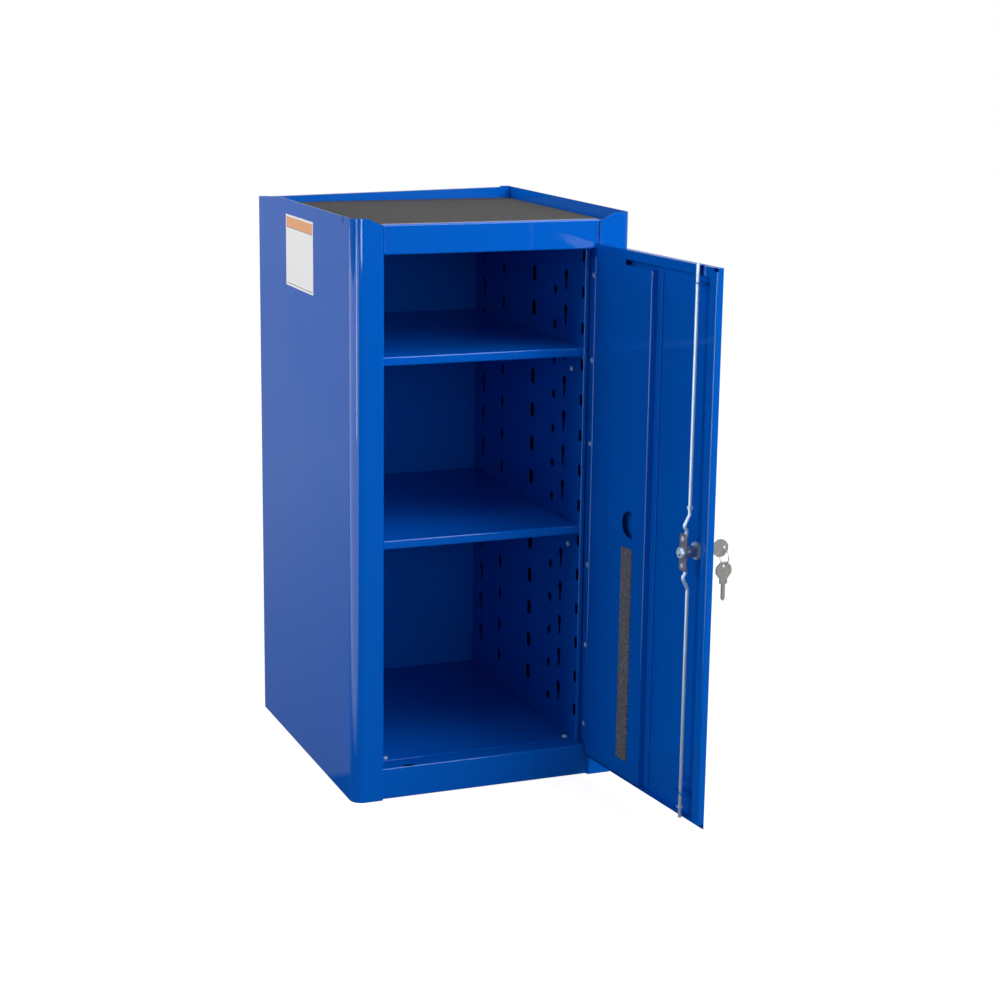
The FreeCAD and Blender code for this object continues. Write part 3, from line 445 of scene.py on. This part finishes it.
# ---------------------------------------------------------------- cam nut
# A turned hexagon nut that holds the cam on the plug, with the end of the plug's thread
# standing through it.
OPEN_ANGLE = math.radians(95.4)  # the door stands open this far
INWARD = Vector((-math.sin(OPEN_ANGLE), math.cos(OPEN_ANGLE), 0.0))
ACROSS = Vector((math.cos(OPEN_ANGLE), math.sin(OPEN_ANGLE), 0.0))
UP = Vector((0.0, 0.0, 1.0))
NUT_CORNER = 0.0075
NUT_HEIGHT = 0.0048
NUT_SIDES = 6
NUT_CHAMFER = 0.0007
THREAD_RADIUS = 0.0031
THREAD_DEPTH = 0.0004
THREAD_PITCH = 0.0008
THREAD_TURNS = 3
THREAD_SIDES = 24


def turned(shape, base, profile, sides):
    """Add a shape of so many sides about the lock's axis, from a profile of (radius, height)."""
    rings = []
    for radius, height in profile:
        ring = []
        for side in range(sides):
            angle = math.tau * side / sides
            spoke = ACROSS * math.cos(angle) + UP * math.sin(angle)
            ring.append(shape.verts.new(base + INWARD * height + spoke * radius))
        rings.append(ring)
    skin(shape, rings)


def cam_nut():
    low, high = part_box("cam_nut")
    base = (low + high) / 2 - INWARD * (NUT_HEIGHT / 2)
    shape = bmesh.new()
    hexagon = (
        (NUT_CORNER - NUT_CHAMFER, 0.0),
        (NUT_CORNER, NUT_CHAMFER / 2),
        (NUT_CORNER, NUT_HEIGHT - NUT_CHAMFER / 2),
        (NUT_CORNER - NUT_CHAMFER, NUT_HEIGHT),
    )
    turned(shape, base, hexagon, NUT_SIDES)
    thread = [(THREAD_RADIUS, NUT_HEIGHT - THREAD_PITCH)]
    for crest in range(THREAD_TURNS):
        height = NUT_HEIGHT + crest * THREAD_PITCH
        thread.append((THREAD_RADIUS, height))
        thread.append((THREAD_RADIUS - THREAD_DEPTH, height + THREAD_PITCH / 2))
    turned(shape, base, thread, THREAD_SIDES)
    return made("cam_hexagon_nut", shape, smooth=False)


nut = cam_nut()
fitted(nut, ZINC, "lock_cam")
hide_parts("cam_nut")

# ---------------------------------------------------------------- key ring
# A split ring: nearly two turns of thin spring wire that lie against each other. It hangs in
# the hole of the key in the lock and carries the spare key.
RING_RADIUS = 0.0109
RING_WIRE = 0.00045
RING_TURNS = 1.9
RING_STEPS = 120
RING_WIRE_SIDES = 10


def split_ring():
    low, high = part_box("key_ring")
    centre = (low + high) / 2
    points = []
    for step in range(RING_STEPS + 1):
        part_way = step / RING_STEPS
        angle = math.tau * RING_TURNS * part_way
        spoke = ACROSS * math.cos(angle) + UP * math.sin(angle)
        points.append(centre + spoke * RING_RADIUS + INWARD * (part_way - 0.5) * 2 * RING_WIRE)
    return tube("split_ring", points, [RING_WIRE] * len(points), RING_WIRE_SIDES, INWARD)


ring = split_ring()
fitted(ring, NICKEL, "key_ring")
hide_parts("key_ring")

# ---------------------------------------------------------------- foam strip
# A strip of bonded foam crumb, dark with pale flecks, stuck to the door's inner panel so that
# the shut door does not drum.
FLECK_SCALE = 900.0
FOAM_SHADES = (
    (0.0, (0.02, 0.02, 0.03)),
    (0.45, (0.06, 0.065, 0.08)),
    (0.8, (0.35, 0.36, 0.38)),
)


def foam():
    place, coat = finish("grey_foam")
    flecks = place.node("ShaderNodeTexVoronoi", {"Vector": place, "Scale": FLECK_SCALE})
    shade = flecks.node("ShaderNodeValToRGB", {"Fac": flecks}, stops=FOAM_SHADES)
    relief = bump(place, flecks, distance=0.0008, strength=0.8)
    return coat(Base_Color=shade, Roughness=0.95, Normal=relief)


dress("foam_strip", foam())

# ---------------------------------------------------------------- label card
# A card of coated paper stuck on the left side: a plain coloured band over a blank field,
# with a thin rule under each.
CARD_MARGIN = 0.003
CARD_RULE = 0.0012
CARD_BAND = 0.0175            # lower edge of the band, below the card's top
CARD_ORANGE = colour(0.86, 0.40, 0.20)
CARD_INK = colour(0.30, 0.27, 0.27)
CARD_WHITE = colour(1.0, 1.0, 1.0)
CARD_FIBRE = colour(0.95, 0.95, 0.95)
FIBRE_SCALE = 700.0


def card():
    low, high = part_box("label_card")
    place, coat = finish("label_card")
    height = axis(place, "Z")
    across = axis(place, "Y").between(low.y + CARD_MARGIN, high.y - CARD_MARGIN)
    foot = high.z - CARD_BAND
    end = low.z + CARD_MARGIN
    band = height.between(foot, high.z - CARD_MARGIN)
    rules = height.between(foot - CARD_RULE, foot) + height.between(end, end + CARD_RULE)
    blank = noise(place, FIBRE_SCALE, detail=3.0).blended(CARD_FIBRE, CARD_WHITE)
    ruled = (rules * across).blended(blank, CARD_INK)
    return coat(Base_Color=(band * across).blended(ruled, CARD_ORANGE), Roughness=0.5)


dress("label_card", card())

# ---------------------------------------------------------------- floor
# A sweep of matt white paper. Gloss sees a painted glow on it, emission that stands in for lit
# paper: it starts beside the locker and runs away behind it, with a bright painted sheet at the
# left; in front gloss sees the paper painted dark, so that the blue front shows no haze.
FLOOR_HALF = 6.0
FLOOR_CLEARANCE = 0.0005
FLOOR_GREY = 0.35
FLOOR_GLOW = 0.9              # what the camera sees near the locker besides the lit grey
FLOOR_NEAR = 0.9
FLOOR_FADE = 1.5              # from here the paper's own white takes over
GLOSS_GREY = 0.04             # painted shade: the paper's darker grey, as gloss sees it
PAPER_START = -0.12
PAPER_FADE = 0.15             # run over which the painted glow begins
PAPER_NEAR = 0.16             # painted glow that gloss sees beside the locker
PAPER_FAR = 0.40              # and behind it
PAPER_RUN = 2.2
SIDE_GLOSS = 2.6              # a painted glow on the floor at the left, seen only in gloss
SIDE_START = 0.35
SIDE_MIDDLE = -0.30
SIDE_SPREAD = 0.62
SIDE_RAMP = 4.0               # how sharply the sheet's edge begins


def floor_finish():
    place, coat = finish("pale_floor")
    rays = place.tree.nodes.new("ShaderNodeLightPath").outputs
    through = Socket(place.tree, rays["Is Transmission Ray"])
    seen = Socket(place.tree, rays["Is Camera Ray"]) + through
    mirrored = Socket(place.tree, rays["Is Glossy Ray"])
    away = place.node("ShaderNodeVectorMath", {0: place}, output="Value", operation="LENGTH")
    far = ((away - FLOOR_NEAR) * (1 / FLOOR_FADE)).within(0.0, 1.0)
    glow = far.spread(FLOOR_GLOW, 1.0)
    # Painted glow for gloss: beside and behind the locker, and a bright sheet at the left.
    depth = axis(place, "Y") - PAPER_START
    beside = (depth * (1 / PAPER_FADE)).within(0.0, PAPER_NEAR)
    glow_behind = (depth * (1 / PAPER_RUN)).within(0.0, 1.0) * (PAPER_FAR - PAPER_NEAR)
    off_middle = abs(axis(place, "Y") - SIDE_MIDDLE)
    reach = axis(place, "X") * -1 - off_middle * SIDE_SPREAD - SIDE_START
    side = (reach * SIDE_RAMP).within(0.0, 1.0) * SIDE_GLOSS
    lit_grey = colour(FLOOR_GREY, FLOOR_GREY, FLOOR_GREY)
    # Painted shade: gloss sees the paper in a darker grey.
    painted_shade_grey = colour(GLOSS_GREY, GLOSS_GREY, GLOSS_GREY)
    return coat(
        Base_Color=mirrored.blended(lit_grey, painted_shade_grey),
        Roughness=0.9,
        Specular_IOR_Level=0.0,
        Emission_Color=colour(1.0, 1.0, 1.0),
        Emission_Strength=seen * glow + mirrored * (beside + glow_behind + side),
    )


floor_mesh = bpy.data.meshes.new("floor")
floor_corners = [(x, y, 0) for x, y in ((-1, -1), (1, -1), (1, 1), (-1, 1))]
floor_mesh.from_pydata([Vector(corner) * FLOOR_HALF for corner in floor_corners], [], [range(4)])
floor_mesh.materials.append(floor_finish())
floor = bpy.data.objects.new("floor", floor_mesh)
floor.location.z = -FLOOR_CLEARANCE
bpy.context.scene.collection.objects.link(floor)

# ---------------------------------------------------------------- light
# A studio with its key lamp high at the front right, weaker ones at the front, the left, above
# and behind, and a low even glow from the front. Gloss sees white paper behind and to the
# sides, the dark room in front, and on the pieces named below two strips that light nothing.
GLOW_LOW = -0.05              # the glow comes from between these slopes
GLOW_HIGH = 0.35
FRONT_GLOW = 0.85
ROOM_GLOW = 0.03              # and the rest of the room gives this much
WHITE_LOW = 0.40              # gloss at the horizon, where the floor's paper ends
WHITE_HIGH = 0.75
WHITE_RISE = 0.25             # slope at which the white is full
WHITE_RAMP = 2.0              # how sharply the white begins, from front to back
WHITE_EDGE = 0.35             # how far it has begun straight to the side
ROOM_GLOSS = 0.04             # the dark room in front, as gloss sees it

world = bpy.data.worlds.new("studio")
world.use_nodes = True
bpy.context.scene.world = world
studio = world.node_tree
way = Socket(studio, studio.nodes.new("ShaderNodeTexCoord").outputs["Generated"])
kinds = studio.nodes.new("ShaderNodeLightPath").outputs
through_ray = Socket(studio, kinds["Is Transmission Ray"])
camera_ray = Socket(studio, kinds["Is Camera Ray"]) + through_ray
glossy_ray = Socket(studio, kinds["Is Glossy Ray"])
front_way = (axis(way, "Y") * -1).within(0.0, 1.0)
low_front = front_way * axis(way, "Z").between(GLOW_LOW, GLOW_HIGH)
glow = low_front * FRONT_GLOW + ROOM_GLOW
white = (axis(way, "Y") * WHITE_RAMP + WHITE_EDGE).within(0.0, 1.0)
rise = (axis(way, "Z") * (1 / WHITE_RISE)).within(0.0, 1.0)
gloss = white * rise.spread(WHITE_LOW, WHITE_HIGH) + ROOM_GLOSS
strength = glow * (1 - glossy_ray) * (1 - camera_ray) + gloss * glossy_ray + camera_ray
studio.nodes["Background"].inputs["Color"].default_value = colour(1.0, 1.0, 1.0)
studio.links.new(strength.link, studio.nodes["Background"].inputs["Strength"])


def lamp(name, place, aim, size, power, glossed=None):
    """A flat soft lamp, turned to its aim. Only the gloss of glossed pieces shows a strip."""
    data = bpy.data.lights.new(name, "AREA")
    data.shape = "RECTANGLE"
    data.size, data.size_y = size
    data.energy = power
    light = bpy.data.objects.new(name, data)
    light.location = place
    light.rotation_euler = (Vector(aim) - Vector(place)).to_track_quat("-Z", "Y").to_euler()
    light.visible_camera = False
    if glossed:
        light.visible_diffuse = False
        light.light_linking.receiver_collection = glossed
    bpy.context.scene.collection.objects.link(light)


GLOSSED_NODES = (
    "left_side_panel", "door_pan", "door_inner_panel", "upper_rod", "lower_rod", "cam_plate"
)
glossy_pieces = bpy.data.collections.new("glossy_pieces")
for node_name in GLOSSED_NODES:
    glossy_pieces.objects.link(nodes[node_name])
glossy_pieces.objects.link(nut)

# name, place, aim, size in metres, power in watts
SOFT_LAMPS = (
    ("key_lamp", (1.3, -2.3, 2.0), (0.0, -0.2, 0.55), (1.2, 1.2), 36.0),
    ("front_lamp", (0.5, -2.6, 0.95), (0.0, 0.0, 0.7), (0.8, 0.5), 6.0),
    ("left_lamp", (-2.6, -0.2, 1.6), (-0.2, 0.0, 0.6), (1.2, 1.2), 24.0),
    ("top_lamp", (0.4, -0.75, 1.7), (0.1, -0.3, 0.4), (0.8, 0.6), 7.5),
    ("back_lamp", (-2.2, 1.2, 1.3), (-0.2, 0.0, 0.5), (1.0, 1.0), 20.0),
)
GLOSS_STRIPS = (
    ("corner_strip", (-2.0, -1.45, 0.8), (-0.2, -0.2, 0.5), (0.35, 1.5), 13.0),
    ("front_strip", (-0.585, -2.49, 0.88), (-0.2, -0.2, 0.88), (0.5, 0.8), 15.0),
)
for soft_lamp in SOFT_LAMPS:
    lamp(*soft_lamp)
for strip in GLOSS_STRIPS:
    lamp(*strip, glossed=glossy_pieces)
